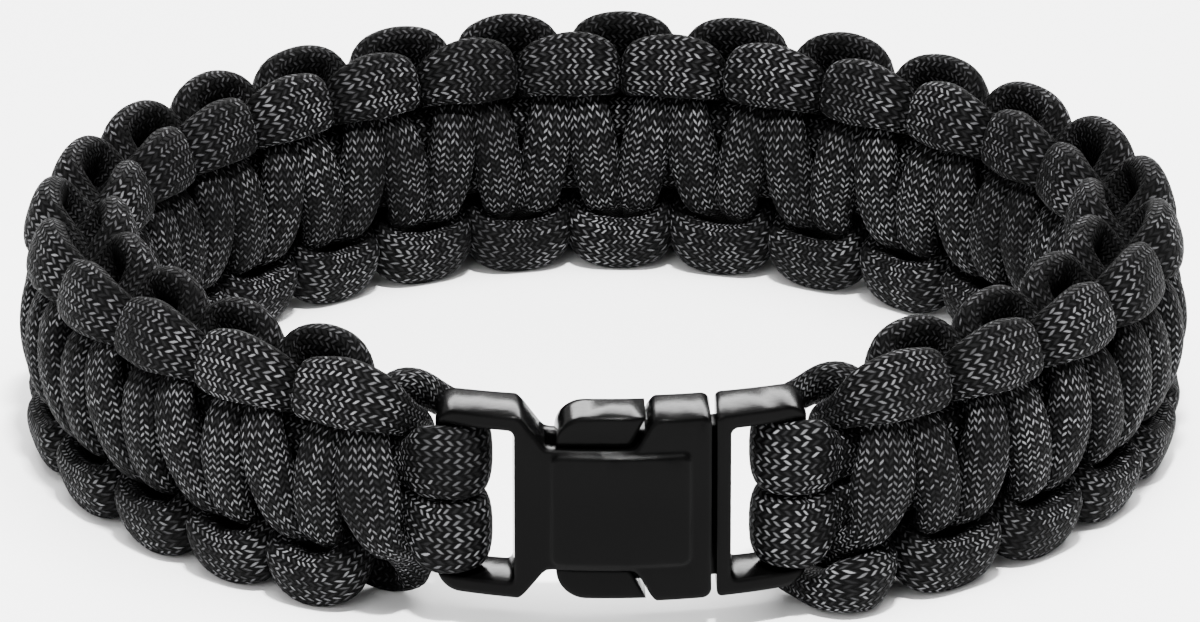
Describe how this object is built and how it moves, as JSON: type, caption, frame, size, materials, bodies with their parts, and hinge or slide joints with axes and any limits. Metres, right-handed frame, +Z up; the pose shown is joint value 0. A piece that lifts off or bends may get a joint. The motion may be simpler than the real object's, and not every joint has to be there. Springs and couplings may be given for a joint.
{
  "type": "paracord bracelet",
  "caption": "Knotted cord wrist bracelet: two cords woven in wide loops round two core strands, closed by a curved side-release buckle.",
  "frame": {"origin": "under the middle of the ring, on the surface it rests on", "axes": "+Z up along the wrist, -Y towards the buckle, +X to the plug's side"},
  "size_m": [0.0883, 0.0836, 0.0197],
  "materials": {
    "buckle_plastic": "satin black moulded plastic",
    "cord_nylon": "black braided nylon sheath with grey glints"
  },
  "bodies": {
    "root": {"buckle_socket": "buckle_plastic", "buckle_plug": "buckle_plastic", "core_cord_upper": "cord_nylon", "core_cord_lower": "cord_nylon", "weave_cord_outer": "cord_nylon", "weave_cord_inner": "cord_nylon"}
  },
  "joints": []
}
